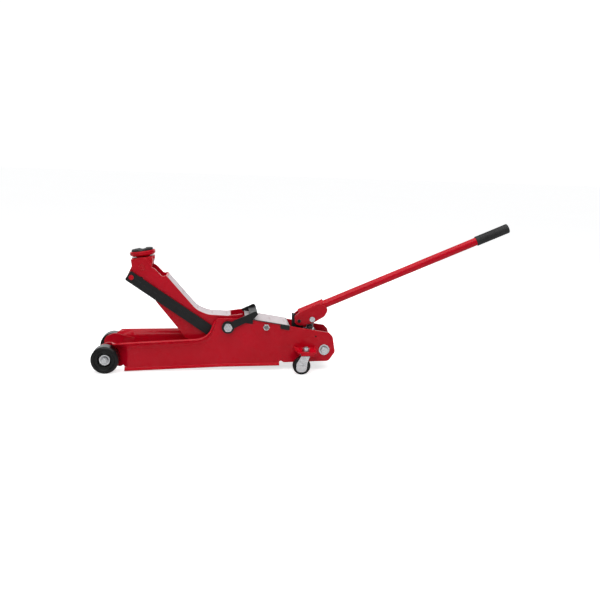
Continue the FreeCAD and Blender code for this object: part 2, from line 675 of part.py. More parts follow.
def link(side):
    """Flat bar from the saddle head down to the chassis, which holds the saddle level."""
    y0 = ARM_OUT + 1.5
    length = math.hypot(ANCHOR_X - LINK_X, LINK_Z - ANCHOR_Z)
    angle = math.degrees(math.atan2(LINK_Z - ANCHOR_Z, ANCHOR_X - LINK_X))
    half = LINK_W / 2
    bar = slab_y([(-LINK_NOSE, -half, 5), (length + half, -half, half), (length + half, half, half),
                  (-LINK_NOSE, half, 5)], y0, y0 + LINK_T)
    bar = bar.cut(rod_y(0, 0, LINK_PIN_D + 2 * RUNNING_FIT, y0 - 1, y0 + LINK_T + 1))
    bar = bar.cut(rod_y(length, 0, ANCHOR_PIN_D + 2 * ANCHOR_PLAY, y0 - 1, y0 + LINK_T + 1))
    bar.rotate(vec(0, 0, 0), vec(0, 1, 0), angle)
    bar.translate(vec(LINK_X, 0, LINK_Z))
    return on_side(bar, side)


def saddle():
    """Swivelling cup with a stem in the head."""
    r = SADDLE_D / 2
    stem = SADDLE_STEM_D / 2
    profile = [(0, 10.5, 0), (stem, 10.5, 0), (stem, 26.3, 0), (20, 26.3, 0), (20, 29.0, 0),
               (r - 5, 29.0, 2), (r, 33.0, 2), (r, 41.0, 2), (r - 4, 43.0, 1.5), (r - 5.5, 41.0, 1),
               (r - 5.5, 35.0, 0), (0, 35.0, 0)]
    wire = rounded_wire(profile, lambda u, v: vec(u, 0, v))
    cup = Part.Face(wire).revolve(vec(0, 0, 0), vec(0, 0, 1), 360)
    cup.translate(vec(SADDLE_AXIS_OFFSET, 0, 0))
    return at_head(cup)


def saddle_pad():
    """Rubber pad with a groove across it, standing a little above the cup."""
    pad = rod_z(SADDLE_AXIS_OFFSET, 0, PAD_D - 2 * GAP, 35, PAD_TOP)
    groove = rod_y(SADDLE_AXIS_OFFSET, PAD_TOP + 14, 34, -PAD_D, PAD_D)
    return at_head(pad.cut(groove))


# ================================================================ power unit
def ram_head():
    """Block that the crank pin pushes through a slot, so the ram can stay straight."""
    half = 29.0
    slot_x = CRANK_PIN_D / 2 + 0.6
    slot_z = CRANK_PIN_D / 2 + CRANK_RISE / 2 + 0.8
    body = slab_y([(CRANK_X - 16, RAM_Z - 26, 6), (CRANK_X + 22, RAM_Z - 26, 4),
                   (CRANK_X + 22, RAM_Z + 20, 4), (CRANK_X - 16, RAM_Z + 20, 6)], -half, half)
    slot = slab_y([(CRANK_X - slot_x, RAM_Z - slot_z, slot_x), (CRANK_X + slot_x, RAM_Z - slot_z, slot_x),
                   (CRANK_X + slot_x, RAM_Z + slot_z, slot_x), (CRANK_X - slot_x, RAM_Z + slot_z, slot_x)],
                  -half - 1, half + 1)
    body = body.cut(slot)
    return body.cut(rod_x(0, RAM_Z, RAM_D, CRANK_X + 12, CRANK_X + 40))


def ram():
    rod = rod_x(0, RAM_Z, RAM_D, CRANK_X + 12, 474)
    piston = rod_x(0, RAM_Z, CYLINDER_BORE - 2 * RUNNING_FIT, 474, 490)
    return rod.fuse(piston)


def cylinder_head():
    cap = rod_x(0, RAM_Z, RESERVOIR_D, CYLINDER_FRONT_X, CYLINDER_FRONT_X + HEAD_CAP)
    return cap.cut(rod_x(0, RAM_Z, RAM_D + 2 * RUNNING_FIT, CYLINDER_FRONT_X - 1,
                         CYLINDER_FRONT_X + HEAD_CAP + 1))


def tube_x(outer, inner, x0, x1):
    return rod_x(0, RAM_Z, outer, x0, x1).cut(rod_x(0, RAM_Z, inner, x0 - 1, x1 + 1))


def pressure_cylinder():
    return tube_x(CYLINDER_D, CYLINDER_BORE, CYLINDER_FRONT_X + HEAD_CAP, BLOCK_X0 + 34)


def reservoir_tube():
    tube = tube_x(RESERVOIR_D, RESERVOIR_D - 2 * RESERVOIR_WALL, CYLINDER_FRONT_X + HEAD_CAP, BLOCK_X0)
    return tube.cut(rod_z(430, 0, 10, RAM_Z, RAM_Z + RESERVOIR_D))


def filler_plug():
    top = RAM_Z + RESERVOIR_D / 2
    return rod_z(430, 0, 10, top - 8, top + 1).fuse(rod_z(430, 0, 15, top + 1, top + 5))


def pump_block():
    """Cast housing behind the cylinder with the pump and valve bores, hung on two trunnions."""
    body = slab_y([(BLOCK_X0, BLOCK_BOTTOM_Z, 4), (BLOCK_X1, BLOCK_BOTTOM_Z, 10),
                   (BLOCK_X1, BLOCK_TOP_Z - 19, 8), (BLOCK_X1 - 34, BLOCK_TOP_Z - 14, 5),
                   (BLOCK_X1 - 44, BLOCK_TOP_Z, 4), (BLOCK_X0, BLOCK_TOP_Z, 4)], -BLOCK_HALF, BLOCK_HALF)
    trunnion = rod_y(TRUNNION_X, TRUNNION_Z, 30, -FRAME_INNER, FRAME_INNER)
    body = body.fuse(trunnion)
    body = body.cut(rod_x(0, RAM_Z, CYLINDER_D, BLOCK_X0 - 1, BLOCK_X0 + 34))
    body = body.cut(rod_z(PLUNGER_X, 0, PLUNGER_D + 2 * RUNNING_FIT, 58, BLOCK_TOP_Z + 1))
    body = body.cut(rod_z(PLUNGER_X, 0, 20, BLOCK_TOP_Z - 10, BLOCK_TOP_Z + 1))
    body = body.cut(rod_z(VALVE_X, VALVE_Y, VALVE_D + 2 * RUNNING_FIT, BLOCK_TOP_Z - 20, BLOCK_TOP_Z + 1))
    for side in (-1, 1):
        y0, y1 = sorted((side * 20, side * FRAME_OUT))
        body = body.cut(rod_y(TRUNNION_X, TRUNNION_Z, TRUNNION_D, y0, y1))
        spring_end = rod_x(side * 20, RAM_Z - 37, 4, BLOCK_X0 - 1, BLOCK_X0 + 6)
        body = body.cut(spring_end)
    return body


def trunnion_bolts():
    seat = FRAME_OUT + WASHER_T
    shank = rod_y(TRUNNION_X, TRUNNION_Z, TRUNNION_D, 24, seat)
    head = hex_y(TRUNNION_X, TRUNNION_Z, 18, seat, 8, 1)
    return both_sides(shank.fuse(head))


def trunnion_washers():
    return both_sides(washer_y(TRUNNION_X, TRUNNION_Z, 31, TRUNNION_D, FRAME_OUT, FRAME_OUT + WASHER_T))


def return_springs():
    """Two long extension springs below the cylinder, as closed tubes over their coils."""
    shapes = []
    for side in (-1, 1):
        y, z = side * 20, RAM_Z - 37
        coil = rod_x(y, z, 12, CRANK_X + 30, BLOCK_X0 - 8)
        hooks = rod_x(y, z, 3, CRANK_X + 22, BLOCK_X0 + 5)
        shapes.append(coil.fuse(hooks))
    return Part.Compound(shapes)


def spring_lugs():
    """Small plate under the ram head that the springs hook to."""
    plate = slab_y([(CRANK_X + 2, RAM_Z - 43, 4), (CRANK_X + 22, RAM_Z - 43, 4),
                    (CRANK_X + 22, RAM_Z - 26, 0), (CRANK_X + 2, RAM_Z - 26, 0)], -28, 28)
    return plate


# ================================================================ handle and pump
def socket_bracket():
    """Black bracket on the pump block: base and two ears that hold the handle's hinge pin."""
    ear = [(524.5, BLOCK_TOP_Z, 0), (524.5, 155, 1), (528, 155, 1), (HINGE_X + 3.5, HINGE_Z + 8.1, 5),
           (HINGE_X + 8.6, HINGE_Z + 1, 6), (HINGE_X + 12, BLOCK_TOP_Z + 14, 4), (558, BLOCK_TOP_Z, 0)]
    shape = slab_y(ear, 11.5, 15.5).fuse(slab_y(ear, -15.5, -11.5))
    base = block(514, 560, -19, 19, BLOCK_TOP_Z, BLOCK_TOP_Z + 4)
    shape = shape.fuse(base)
    shape = shape.cut(rod_y(HINGE_X, HINGE_Z, HINGE_PIN_D + 2 * RUNNING_FIT, -30, 30))
    shape = shape.cut(rod_z(VALVE_X, VALVE_Y, VALVE_D + 2, BLOCK_TOP_Z - 1, BLOCK_TOP_Z + 5))
    return shape.removeSplitter()


def handle_socket():
    """Tube that takes the handle, with two yoke plates for hinge pin and roller."""
    tube = at_handle(rod_x(0, HANDLE_OFFSET, SOCKET_D, SOCKET_START, SOCKET_END))
    inner = YOKE_OUT - YOKE_T
    yoke = [(529, 151, 8), (531, 128, 12), (548, 124.5, 10), (584, 132, 12), (617, 152, 14),
            (629, 176, 12), (600, 190, 4), (541, 161, 4)]
    plates = slab_y(yoke, inner, YOKE_OUT).fuse(slab_y(yoke, -YOKE_OUT, -inner))
    rib = at_handle(block(SOCKET_START + 4, SOCKET_END - 4, -YOKE_OUT + 1, YOKE_OUT - 1,
                          HANDLE_OFFSET + 4, HANDLE_OFFSET + 9))
    body = tube.fuse([plates, rib])
    bore = at_handle(rod_x(0, HANDLE_OFFSET, HANDLE_D + 2 * RUNNING_FIT, SOCKET_START - 5, SOCKET_END + 5))
    body = body.cut(bore)
    body = body.cut(rod_y(ROLLER_X, ROLLER_Z, ROLLER_D + 4 * GAP, -inner, inner))
    body = body.cut(rod_y(HINGE_X, HINGE_Z, HINGE_PIN_D, -30, 30))
    body = body.cut(rod_y(ROLLER_X, ROLLER_Z, ROLLER_BOLT_D, -30, 30))
    return body.removeSplitter()


def socket_pin():
    return rod_y(HINGE_X, HINGE_Z, HINGE_PIN_D, -YOKE_OUT - 2, YOKE_OUT + 2)


def pump_roller():
    half = YOKE_OUT - YOKE_T - GAP
    return washer_y(ROLLER_X, ROLLER_Z, ROLLER_D, ROLLER_BOLT_D + 2 * RUNNING_FIT, -half, half)


def roller_bolt():
    shank = rod_y(ROLLER_X, ROLLER_Z, ROLLER_BOLT_D, -YOKE_OUT, YOKE_OUT + 9)
    head = Part.makeCylinder(7.8, 4.5, vec(ROLLER_X, -YOKE_OUT, ROLLER_Z), vec(0, -1, 0))
    nut = hex_y(ROLLER_X, ROLLER_Z, 16, YOKE_OUT, 6, 1)
    return shank.fuse([head, nut])


def handle_tube():
    tube = rod_x(0, HANDLE_OFFSET, HANDLE_D, HANDLE_START, HANDLE_END)
    bore = rod_x(0, HANDLE_OFFSET, HANDLE_D - 2 * HANDLE_WALL, HANDLE_START - 1, HANDLE_END + 1)
    return at_handle(tube.cut(bore))


def handle_grip():
    """Closed rubber sleeve with low ribs on the handle's free end."""
    r = GRIP_D / 2
    body = rod_x(0, HANDLE_OFFSET, GRIP_D, GRIP_START, GRIP_END)
    ends = [edge for edge in body.Edges if edge.Closed]
    body = body.makeChamfer(GRIP_CHAMFER, ends)
    count = 12
    pitch = (GRIP_END - GRIP_START - 26) / count
    for k in range(count + 1):
        x = GRIP_START + 13 + k * pitch
        groove = rod_x(0, HANDLE_OFFSET, GRIP_D + 4, x - 1, x + 1)
        groove = groove.cut(rod_x(0, HANDLE_OFFSET, 2 * r - 1.4, x - 2, x + 2))
        body = body.cut(groove)
    body = body.cut(rod_x(0, HANDLE_OFFSET, HANDLE_D, GRIP_START - 1, HANDLE_END))
    return at_handle(body)


def pump_gland():
    body = rod_z(PLUNGER_X, 0, 20, BLOCK_TOP_Z - 10, BLOCK_TOP_Z)
    nut = hexagon(vec(PLUNGER_X, 0, BLOCK_TOP_Z), vec(0, 0, 1), 22, 7)
    shape = body.fuse(nut)
    return shape.cut(rod_z(PLUNGER_X, 0, PLUNGER_D + 2 * RUNNING_FIT, BLOCK_TOP_Z - 12, BLOCK_TOP_Z + 9))


def pump_plunger():
    stem = rod_z(PLUNGER_X, 0, PLUNGER_D, 74, PLUNGER_CAP_Z - 3)
    cap = rod_z(PLUNGER_X, 0, PLUNGER_CAP_D, PLUNGER_CAP_Z - 3, PLUNGER_CAP_Z)
    return stem.fuse(cap)


def plunger_spring():
    """Compression spring round the plunger, a real coil of flattened turns."""
    bottom, top = BLOCK_TOP_Z + 7, PLUNGER_CAP_Z - 3
    turns = 4
    shapes = []
    wire = 2.2
    for k in range(turns):
        z = bottom + wire / 2 + k * (top - bottom - wire) / (turns - 1)
        shapes.append(Part.makeTorus(9.0, wire / 2, vec(PLUNGER_X, 0, z)))
    return Part.Compound(shapes)


def release_valve():
    """Needle valve that lets the oil back, with a cross-drilled stem above the block."""
    stem = rod_z(VALVE_X, VALVE_Y, VALVE_D, BLOCK_TOP_Z - 18, BLOCK_TOP_Z + 12)
    return stem.cut(rod_y(VALVE_X, BLOCK_TOP_Z + 8, 4, VALVE_Y - VALVE_D, VALVE_Y + VALVE_D))


# ================================================================ cover and carry handle
def cover_top(x):
    return 151.6 - (x - COVER_X0) * 0.158


def cover_plate():
    """Folded cover over the power unit: sloping top, rounded rear end, four tabs."""
    t = COVER_T
    x0, x1 = COVER_X0, COVER_X1
    flat = [(x0, cover_top(x0), 0), (x1 - 6, cover_top(x1 - 6), 0),
            (x1 - 6, cover_top(x1 - 6) - t, 0), (x0, cover_top(x0) - t, 0)]
    sheet = slab_y(flat, -COVER_HALF, COVER_HALF)
    drop = [(x1 - 12, cover_top(x1 - 12), 0), (x1 - 2, cover_top(x1 - 2), 8), (x1 + 3, cover_top(x1) - 9, 0),
            (x1 + 1, cover_top(x1) - 9.4, 0), (x1 - 3, cover_top(x1 - 2) - t, 6),
            (x1 - 12, cover_top(x1 - 12) - t, 0)]
    sheet = sheet.fuse(slab_y(drop, -FRAME_INNER + 1, FRAME_INNER - 1))
    for a, b in ((x0, x0 + 22), (x1 - 27, x1 - 1)):
        tab = [(a, cover_top(a) - 0.5, 0), (b, cover_top(b) - 0.5, 0),
               (b, cover_top(b) - 14, 3), (a, cover_top(a) - 14, 3)]
        right = slab_y(tab, COVER_HALF - t, COVER_HALF)
        sheet = sheet.fuse([right, mirror_y(right)])
    return sheet.removeSplitter()


def cover_label():
    x0, x1 = COVER_X0 + 10, COVER_X1 - 7
    return slab_y([(x0, cover_top(x0) + 0.4, 0), (x1, cover_top(x1) + 0.4, 0),
                   (x1, cover_top(x1), 0), (x0, cover_top(x0), 0)], -COVER_HALF + 3, COVER_HALF - 3)


def carry_handle():
    """Strap handle on the arm pivot bolts: two legs and a cross bar."""
    reach = math.hypot(CARRY_X - ARM_X, CARRY_Z - ARM_Z)
    leg_angle = math.degrees(math.atan2(CARRY_Z - ARM_Z, CARRY_X - ARM_X))
    bar_turn = CARRY_BAR_ANGLE - leg_angle
    half_bar = CARRY_BAR_W / 2
    leg = slab_y([(0, -CARRY_W / 2, 0), (reach - 6, -CARRY_W / 2, 10), (reach + 11, -4, 5),
                  (reach + 11, 8, 6), (0, CARRY_W / 2, 0)], CARRY_Y0, CARRY_Y1)
    eye = rod_y(0, 0, CARRY_EYE_D, CARRY_Y0, CARRY_Y1)
    leg = leg.fuse(eye)
    bar = slab_y([(-half_bar, -CARRY_T / 2, 1), (half_bar, -CARRY_T / 2, 1), (half_bar, CARRY_T / 2, 1),
                  (-half_bar, CARRY_T / 2, 1)], -CARRY_Y1, CARRY_Y1)
    bar.rotate(vec(0, 0, 0), vec(0, 1, 0), -bar_turn)
    bar.translate(vec(reach, 0, 0))
    strap = leg.fuse([mirror_y(leg), bar])
    strap = strap.cut(rod_y(0, 0, BOLT_D + 2 * RUNNING_FIT, -CARRY_Y1 - 1, CARRY_Y1 + 1))
    strap.rotate(vec(0, 0, 0), vec(0, 1, 0), -leg_angle)
    strap.translate(vec(ARM_X, 0, ARM_Z))
    return strap.removeSplitter()


# ================================================================ casters
def fork_top_z():
    return CASTER_D + 1.5 + FORK_T


def caster_fork(side):
    """Pressed fork: crown plate and two teardrop cheeks."""
    top = fork_top_z()
    half = CASTER_W / 2 + 1.5
    cheek = [(SWIVEL_X - 14, top, 2), (CASTER_X - 15.5, CASTER_Z + 8, 14),
             (CASTER_X - 16, CASTER_Z - 16.5, 14.5), (CASTER_X + 13.5, CASTER_Z - 16.5, 14),
             (CASTER_X + 15, CASTER_Z + 8, 12), (SWIVEL_X + 10, top, 2)]
    near = slab_y(cheek, CASTER_Y + half, CASTER_Y + half + FORK_T)
    far = slab_y(cheek, CASTER_Y - half - FORK_T, CASTER_Y - half)
    crown = block(SWIVEL_X - 14, SWIVEL_X + 10, CASTER_Y - half - FORK_T, CASTER_Y + half + FORK_T,
                  top - FORK_T, top)
    raceway = rod_z(SWIVEL_X, CASTER_Y, 24, top, SHELF_TOP_Z - SHELF_T - GAP)
    fork = near.fuse([far, crown, raceway])
    fork = fork.cut(rod_y(CASTER_X, CASTER_Z, 8, CASTER_Y - 30, CASTER_Y + 30))
    fork = fork.cut(rod_z(SWIVEL_X, CASTER_Y, KINGPIN_D, top - 5, SHELF_TOP_Z + 1))
    return on_side(fork.removeSplitter(), side)


def caster_kingpin(side):
    """Threaded pin in the fork's crown, with its washer and nut above the shelf."""
    top = fork_top_z()
    z0 = SHELF_TOP_Z + GAP
    pin = rod_z(SWIVEL_X, CASTER_Y, KINGPIN_D, top - FORK_T, z0 + 12.5)
    washer = rod_z(SWIVEL_X, CASTER_Y, 21, z0, z0 + 2)
    washer = washer.cut(rod_z(SWIVEL_X, CASTER_Y, KINGPIN_D, z0 - 1, z0 + 3))
    nut = hexagon(vec(SWIVEL_X, CASTER_Y, z0 + 2), vec(0, 0, 1), 16.5, 8)
    nut = nut.cut(rod_z(SWIVEL_X, CASTER_Y, KINGPIN_D, z0, z0 + 15))
    return on_side(Part.Compound([pin, washer, nut]), side)


def caster_axle(side):
    half = CASTER_W / 2 + 1.5 + FORK_T
    return on_side(rod_y(CASTER_X, CASTER_Z, 8, CASTER_Y - half, CASTER_Y + half + 0.6), side)


def caster_wheel(side):
    half = CASTER_W / 2
    wheel = rod_y(CASTER_X, CASTER_Z, CASTER_D, CASTER_Y - half, CASTER_Y + half)
    rims = [edge for edge in wheel.Edges if edge.Closed]
    wheel = wheel.makeFillet(3.0, rims)
    for y0, y1 in ((CASTER_Y - half - 1, CASTER_Y - half + 2), (CASTER_Y + half - 2, CASTER_Y + half + 1)):
        wheel = wheel.cut(washer_y(CASTER_X, CASTER_Z, CASTER_D - 14, 18, y0, y1))
    bore = rod_y(CASTER_X, CASTER_Z, 8 + 2 * RUNNING_FIT, CASTER_Y - 20, CASTER_Y + 20)
    return on_side(wheel.cut(bore), side)


# ================================================================ the whole jack
def build():
    nodes = {
        "front_axle": front_axle(),
        "axle_washers": axle_washers(),
        "axle_nuts": axle_nuts(),
        "tie_rod": tie_rod(),
        "tie_spacer": tie_spacer(),
        "tie_nuts": tie_nuts(),
        "link_anchor_pins": link_anchor_pins(),
        "arm_pivot_shaft": arm_pivot_shaft(),
        "arm_pivot_bolts": arm_pivot_bolts(),
        "arm_pivot_washers": arm_pivot_washers(),
        "lift_arm": lift_arm(),
        "arm_label": arm_label(),
        "head_pin": head_pin(),
        "crank_pin": crank_pin(),
        "saddle_head": saddle_head(),
        "link_pins": link_pins(),
        "saddle": saddle(),
        "saddle_pad": saddle_pad(),
        "ram_head": ram_head().fuse(spring_lugs()).removeSplitter(),
        "ram": ram(),
        "cylinder_head": cylinder_head(),
        "pressure_cylinder": pressure_cylinder(),
        "reservoir_tube": reservoir_tube(),
        "filler_plug": filler_plug(),
        "pump_block": pump_block(),
        "trunnion_bolts": trunnion_bolts(),
        "trunnion_washers": trunnion_washers(),
        "return_springs": return_springs(),
        "socket_bracket": socket_bracket(),
        "handle_socket": handle_socket(),
        "socket_pin": socket_pin(),
        "pump_roller": pump_roller(),
        "roller_bolt": roller_bolt(),
        "handle_tube": handle_tube(),
        "handle_grip": handle_grip(),
        "pump_gland": pump_gland(),
        "pump_plunger": pump_plunger(),
        "plunger_spring": plunger_spring(),
        "release_valve": release_valve(),
        "cover_plate": cover_plate(),
        "cover_label": cover_label(),
        "carry_handle": carry_handle(),
    }
    for side, name in ((-1, "left"), (1, "right")):
        nodes["side_plate_" + name] = side_plate(side)
        nodes["front_wheel_" + name] = front_wheel(side)
        nodes["link_" + name] = link(side)
        nodes["caster_bracket_" + name] = caster_bracket(side)
        nodes["caster_fork_" + name] = caster_fork(side)
        nodes["caster_kingpin_" + name] = caster_kingpin(side)
        nodes["caster_axle_" + name] = caster_axle(side)
        nodes["caster_wheel_" + name] = caster_wheel(side)
    return nodes


os.makedirs("parts", exist_ok=True)
for node, shape in build().items():
    placed = shape.copy()
    placed.translate(vec(-ORIGIN_X, 0, 0))
    placed.exportStep("parts/" + node + ".step")
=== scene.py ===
"""Looks of the trolley jack: materials, detailed pieces, studio and camera, round the CAD frame."""
import math
import random

import bpy
from mathutils import Matrix, Vector
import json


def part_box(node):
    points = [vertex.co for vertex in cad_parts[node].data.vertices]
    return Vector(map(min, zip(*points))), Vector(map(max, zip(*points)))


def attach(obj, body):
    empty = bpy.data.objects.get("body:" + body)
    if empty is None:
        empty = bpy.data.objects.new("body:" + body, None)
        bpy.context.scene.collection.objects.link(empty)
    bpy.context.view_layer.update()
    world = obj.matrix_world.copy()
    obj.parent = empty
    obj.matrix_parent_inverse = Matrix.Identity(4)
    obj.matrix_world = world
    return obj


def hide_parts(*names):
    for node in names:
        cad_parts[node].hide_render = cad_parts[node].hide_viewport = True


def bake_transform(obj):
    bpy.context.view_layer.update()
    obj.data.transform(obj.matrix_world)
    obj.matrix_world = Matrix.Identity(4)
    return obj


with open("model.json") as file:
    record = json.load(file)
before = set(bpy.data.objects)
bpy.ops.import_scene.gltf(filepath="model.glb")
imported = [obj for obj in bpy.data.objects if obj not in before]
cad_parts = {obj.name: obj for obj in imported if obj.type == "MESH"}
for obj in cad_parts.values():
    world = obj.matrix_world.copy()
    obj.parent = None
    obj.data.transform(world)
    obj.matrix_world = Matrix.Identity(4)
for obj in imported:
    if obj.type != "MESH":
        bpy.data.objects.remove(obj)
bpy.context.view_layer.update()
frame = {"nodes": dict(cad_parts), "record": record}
nodes = frame["nodes"]

# ------------------------------------------------------------------ camera and stage
CAMERA_PLACE = Vector((-0.2569, -2.1785, 0.5722))
CAMERA_YAW = 0.11           # to the right of straight ahead, radians
CAMERA_PITCH = 0.17         # downwards
CAMERA_ROLL = 0.034
CAMERA_LENS = 45.65


def make_camera():
    data = bpy.data.cameras.new("camera")
    data.lens = CAMERA_LENS
    data.sensor_width = 36.0
    data.clip_start = 0.01
    camera = bpy.data.objects.new("camera", data)
    bpy.context.scene.collection.objects.link(camera)
    forward = Vector((math.sin(CAMERA_YAW) * math.cos(CAMERA_PITCH),
                      math.cos(CAMERA_YAW) * math.cos(CAMERA_PITCH),
                      -math.sin(CAMERA_PITCH)))
    level = Vector((math.cos(CAMERA_YAW), -math.sin(CAMERA_YAW), 0.0))
    upright = level.cross(forward)
    right = level * math.cos(CAMERA_ROLL) + upright * math.sin(CAMERA_ROLL)
    up = upright * math.cos(CAMERA_ROLL) - level * math.sin(CAMERA_ROLL)
    turn = Matrix((right, up, -forward)).transposed()
    camera.matrix_world = Matrix.Translation(CAMERA_PLACE) @ turn.to_4x4()
    bpy.context.scene.camera = camera


make_camera()


# ------------------------------------------------------------------ material helpers
# Reach of the painted edge highlight, which lightens the red along folds and edges.
EDGE_HIGHLIGHT_REACH = 0.0014   # metres from an edge
# Reach of the painted crevice shade, which darkens the zinc in corners and gaps.
CREVICE_SHADE_REACH = 0.004


class Nodes:
    """Short way to write a material's node tree."""

    def __init__(self, name):
        self.material = bpy.data.materials.new(name)
        self.material.use_nodes = True
        self.tree = self.material.node_tree
        self.tree.nodes.clear()
        self.out = self.tree.nodes.new("ShaderNodeOutputMaterial")
        self.shader = self.tree.nodes.new("ShaderNodeBsdfPrincipled")
        self.link(self.shader.outputs["BSDF"], self.out.inputs["Surface"])
        self.position = self.tree.nodes.new("ShaderNodeTexCoord").outputs["Object"]

    def link(self, source, target):
        self.tree.links.new(source, target)

    def put(self, **values):
        for name, value in values.items():
            self.shader.inputs[name.replace("_", " ")].default_value = value

    def noise(self, scale, detail=3.0, roughness=0.5):
        node = self.tree.nodes.new("ShaderNodeTexNoise")
        node.inputs["Scale"].default_value = scale
        node.inputs["Detail"].default_value = detail
        node.inputs["Roughness"].default_value = roughness
        self.link(self.position, node.inputs["Vector"])
        return node.outputs["Fac"]

    def ramp(self, source, *stops):
        """stops: (place, value or colour)"""
        node = self.tree.nodes.new("ShaderNodeValToRGB")
        elements = node.color_ramp.elements
        while len(elements) < len(stops):
            elements.new(0.5)
        for element, (place, value) in zip(elements, stops):
            element.position = place
            element.color = (*value, 1.0) if isinstance(value, tuple) else (value,) * 3 + (1.0,)
        self.link(source, node.inputs["Fac"])
        return node.outputs["Color"]

    def math(self, operation, a, b):
        node = self.tree.nodes.new("ShaderNodeMath")
        node.operation = operation
        for i, value in enumerate((a, b)):
            if isinstance(value, (int, float)):
                node.inputs[i].default_value = value
            else:
                self.link(value, node.inputs[i])
        return node.outputs["Value"]

    def mix(self, share, a, b):
        node = self.tree.nodes.new("ShaderNodeMix")
        node.data_type = "RGBA"
        for socket, value in ((node.inputs["Factor"], share), (node.inputs["A"], a), (node.inputs["B"], b)):
            if isinstance(value, tuple):
                socket.default_value = (*value, 1.0)
            elif isinstance(value, (int, float)):
                socket.default_value = value
            else:
                self.link(value, socket)
        return node.outputs["Result"]

    def mottle(self, source, dark, light):
        """Two tones, or two values, blended by a noise."""
        return self.ramp(source, (0.3, dark), (0.7, light))

    def colour(self, source):
        self.link(source, self.shader.inputs["Base Color"])

    def roughness(self, source, smooth, rough):
        self.link(self.mottle(source, smooth, rough), self.shader.inputs["Roughness"])

    def bump(self, height, strength, distance):
        node = self.tree.nodes.new("ShaderNodeBump")
        node.inputs["Strength"].default_value = strength
        node.inputs["Distance"].default_value = distance
        self.link(height, node.inputs["Height"])
        self.link(node.outputs["Normal"], self.shader.inputs["Normal"])


def edge_wear(n):
    """Mask that is 1 on sharp outer edges, broken up by noise."""
    geometry = n.tree.nodes.new("ShaderNodeNewGeometry")
    edges = n.ramp(geometry.outputs["Pointiness"], (0.60, 0.0), (0.72, 1.0))
    return n.math("MULTIPLY", edges, n.ramp(n.noise(160.0, 4.0, 0.7), (0.45, 0.0), (0.6, 1.0)))


def painted_edge_highlight(n):
    """Mask that is 1 along folds and edges: a painted highlight, lighter red where the edges would catch
    the light.
    """
    rounded = n.tree.nodes.new("ShaderNodeBevel")
    rounded.samples = 4
    rounded.inputs["Radius"].default_value = EDGE_HIGHLIGHT_REACH
    geometry = n.tree.nodes.new("ShaderNodeNewGeometry")
    agree = n.tree.nodes.new("ShaderNodeVectorMath")
    agree.operation = "DOT_PRODUCT"
    n.link(rounded.outputs["Normal"], agree.inputs[0])
    n.link(geometry.outputs["Normal"], agree.inputs[1])
    return n.ramp(agree.outputs["Value"], (0.75, 0.8), (0.98, 0.0))


def painted_crevice_shade(n):
    """Mask that falls to 0 in corners and gaps: painted shade, darker where shade would fall."""
    node = n.tree.nodes.new("ShaderNodeAmbientOcclusion")
    node.samples = 8
    node.inputs["Distance"].default_value = CREVICE_SHADE_REACH
    return n.ramp(node.outputs["AO"], (0.35, 0.0), (0.92, 1.0))


# ------------------------------------------------------------------ materials
BLACK = ((0.007, 0.0072, 0.008), (0.013, 0.0132, 0.014))


def red_paint():
    n = Nodes("red_paint")
    tone = n.ramp(n.noise(9.0, 2.0), (0.35, (0.545, 0.0015, 0.013)), (0.65, (0.600, 0.0022, 0.017)))
    # painted highlight: folds and edges turned a lighter red where they would catch the light
    n.colour(n.mix(painted_edge_highlight(n), tone, (0.92, 0.10, 0.10)))
    n.roughness(n.noise(38.0, 4.0), 0.24, 0.34)
    n.put(IOR=1.5, Specular_IOR_Level=0.10, Coat_Weight=0.20, Coat_Roughness=0.04)
    n.bump(n.noise(190.0, 2.0), 0.03, 0.0005)
    return n.material


def black_paint():
    n = Nodes("black_paint")
    tone = n.mottle(n.noise(14.0), *BLACK)
    n.colour(n.mix(edge_wear(n), tone, (0.06, 0.06, 0.065)))
    n.roughness(n.noise(55.0, 4.0), 0.36, 0.50)
    n.put(IOR=1.5, Specular_IOR_Level=0.3)
    n.bump(n.noise(240.0, 3.0), 0.05, 0.0004)
    return n.material


def black_nylon():
    n = Nodes("black_nylon")
    tone = n.mottle(n.noise(22.0), (0.004, 0.004, 0.0042), (0.009, 0.009, 0.0092))
    n.colour(tone)
    n.roughness(n.noise(90.0, 4.0), 0.26, 0.36)
    n.put(IOR=1.5, Specular_IOR_Level=0.22, Coat_Weight=0.10, Coat_Roughness=0.10)
    n.bump(n.noise(420.0, 3.0), 0.1, 0.0005)
    return n.material


def black_rubber():
    n = Nodes("black_rubber")
    tone = n.mottle(n.noise(30.0), (0.012, 0.012, 0.012), (0.024, 0.024, 0.025))
    n.colour(tone)
    n.roughness(n.noise(120.0, 4.0), 0.6, 0.78)
    n.put(IOR=1.5)
    n.bump(n.noise(900.0, 4.0), 0.25, 0.0005)
    return n.material


def zinc_steel():
    n = Nodes("zinc_steel")
    tone = n.mottle(n.noise(70.0, 4.0, 0.6), (0.56, 0.57, 0.60), (0.76, 0.77, 0.78))
    # painted shade: near-black zinc in corners and gaps where shade would fall
    n.colour(n.mix(painted_crevice_shade(n), (0.05, 0.05, 0.052), tone))
    n.roughness(n.noise(150.0, 4.0), 0.20, 0.34)
    n.put(Metallic=1.0)
    n.bump(n.noise(500.0, 3.0), 0.1, 0.0004)
    return n.material


def plain_steel():
    n = Nodes("plain_steel")
    tone = n.mottle(n.noise(60.0, 5.0, 0.65), (0.20, 0.20, 0.205), (0.34, 0.335, 0.33))
    n.colour(tone)
    n.roughness(n.noise(130.0, 4.0), 0.34, 0.5)
    n.put(Metallic=1.0)
    n.bump(n.noise(450.0, 3.0), 0.15, 0.0004)
    return n.material


